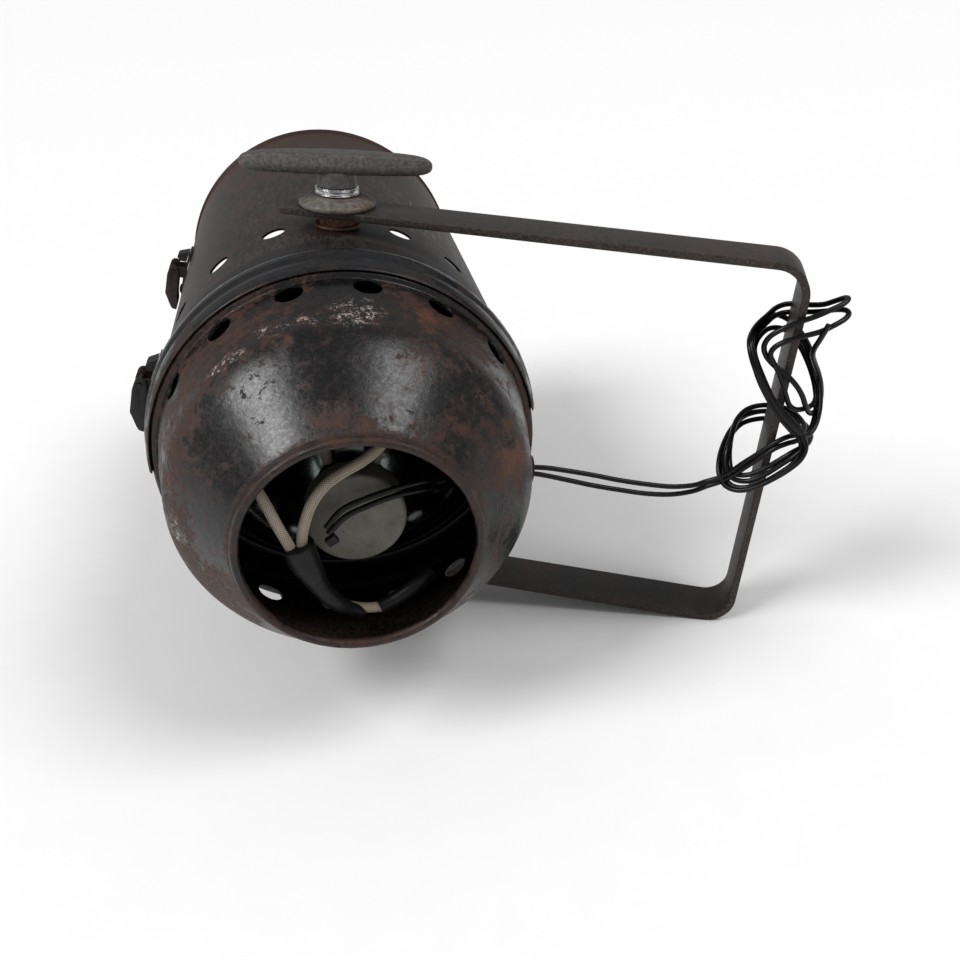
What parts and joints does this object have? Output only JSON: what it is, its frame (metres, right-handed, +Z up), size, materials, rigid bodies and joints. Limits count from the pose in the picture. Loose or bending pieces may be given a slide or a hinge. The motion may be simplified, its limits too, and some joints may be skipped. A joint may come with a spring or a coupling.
{
  "type": "stage spotlight",
  "caption": "Stage lantern with a round tube, a vented rear housing and a U-shaped flat-bar yoke held by T-handles, lying on its side with its leads wound on the yoke.",
  "frame": {"origin": "centre of the bounding box's underside, where the lantern rests on a floor", "axes": "+Z up as it lies, +Y within 3 degrees of the beam, +X towards the yoke's crossbar"},
  "size_m": [0.3686, 0.4144, 0.2783],
  "materials": {
    "blackened": "worn glossy black, rust blotches",
    "grey_steel": "matt grey-brown, faintly streaked",
    "yoke_steel": "dark grey-brown with worn edges",
    "cast_alloy": "rough cast, dull",
    "bright_steel": "bright, lightly brushed",
    "rusty_steel": "rusty",
    "glass": "clear, slightly domed",
    "mirror": "silvered glass seen from the back",
    "ceramic": "unglazed ceramic, speckled",
    "braid": "beige braided sleeve",
    "black_plastic": "glossy black insulation",
    "rubber": "dull black"
  },
  "bodies": {
    "yoke": {"yoke": "yoke_steel", "wire_winding": "black_plastic", "wire_loop_long": "black_plastic", "wire_loop_short": "black_plastic", "wire_tail": "black_plastic", "top_cup_washer": "cast_alloy", "bottom_cup_washer": "cast_alloy"},
    "housing": {"bottom_nut": "rusty_steel", "bottom_seat_washer": "rusty_steel", "bottom_stud": "bright_steel", "cable_grommet": "rubber", "cable_tie": "black_plastic", "front_clasp_foot": "blackened", "front_clasp_keeper": "rusty_steel", "front_clasp_pin": "bright_steel", "front_clasp_rivet_lower": "rusty_steel", "front_clasp_rivet_upper": "rusty_steel", "front_tube": "grey_steel", "joint_band": "blackened", "lamp_contact_left": "bright_steel", "lamp_contact_right": "bright_steel", "lamp_lens": "glass", "lamp_reflector": "mirror", "lamp_seat_ring": "grey_steel", "lamp_spring_ring": "bright_steel", "lampholder": "ceramic", "rear_clasp_foot": "blackened", "rear_clasp_keeper": "rusty_steel", "rear_clasp_pin": "bright_steel", "rear_clasp_rivet_lower": "rusty_steel", "rear_clasp_rivet_upper": "rusty_steel", "rear_housing": "blackened", "sleeve_left": "braid", "sleeve_right": "braid", "splice_sleeve": "black_plastic", "tail_braid": "braid", "tail_sleeve": "black_plastic", "top_nut": "rusty_steel", "top_seat_washer": "rusty_steel", "top_stud": "bright_steel", "wire_inside_lower": "black_plastic", "wire_inside_upper": "black_plastic", "wire_run_lower": "black_plastic", "wire_run_upper": "black_plastic"},
    "top_collar": {"top_collar": "bright_steel"},
    "bottom_collar": {"bottom_collar": "bright_steel"},
    "top_handle": {"top_handle": "cast_alloy"},
    "bottom_handle": {"bottom_handle": "cast_alloy"},
    "rear_clasp_lever": {"rear_clasp_lever": "blackened"},
    "front_clasp_lever": {"front_clasp_lever": "blackened"}
  },
  "joints": [
    {"name": "housing_tilt", "type": "hinge", "parent": "yoke", "child": "housing", "pos_m": [-0.06793, -0.0438, 0.13761], "axis": [-0.1118, 0.0435, -0.9928], "range_deg": [-60, 75], "deforming": ["wire_run_upper", "wire_run_lower"]},
    {"name": "top_handle_travel", "type": "slide", "parent": "housing", "child": "top_collar", "axis": [0.1118, -0.0435, 0.9928], "range_m": [0, 0.00175]},
    {"name": "top_handle_turn", "type": "hinge", "parent": "top_collar", "child": "top_handle", "pos_m": [-0.05299, -0.04961, 0.27024], "axis": [0.1118, -0.0435, 0.9928], "range_deg": [0, 360]},
    {"name": "bottom_handle_travel", "type": "slide", "parent": "housing", "child": "bottom_collar", "axis": [-0.1118, 0.0435, -0.9928], "range_m": [0, 0.00175]},
    {"name": "bottom_handle_turn", "type": "hinge", "parent": "bottom_collar", "child": "bottom_handle", "pos_m": [-0.08286, -0.03799, 0.00497], "axis": [-0.1118, 0.0435, -0.9928], "range_deg": [0, 360]},
    {"name": "rear_clasp_turn", "type": "hinge", "parent": "housing", "child": "rear_clasp_lever", "pos_m": [-0.16817, -0.08637, 0.17857], "axis": [0.0024, 0.9991, 0.0435], "range_deg": [0, 110]},
    {"name": "front_clasp_turn", "type": "hinge", "parent": "housing", "child": "front_clasp_lever", "pos_m": [-0.16773, 0.09026, 0.18626], "axis": [0.0024, 0.9991, 0.0435], "range_deg": [0, 110]}
  ],
  "couplings": [
    {"joint": "top_handle_turn", "follows": "top_handle_travel", "rad_per_m": 3590.4},
    {"joint": "bottom_handle_turn", "follows": "bottom_handle_travel", "rad_per_m": 3590.4}
  ]
}
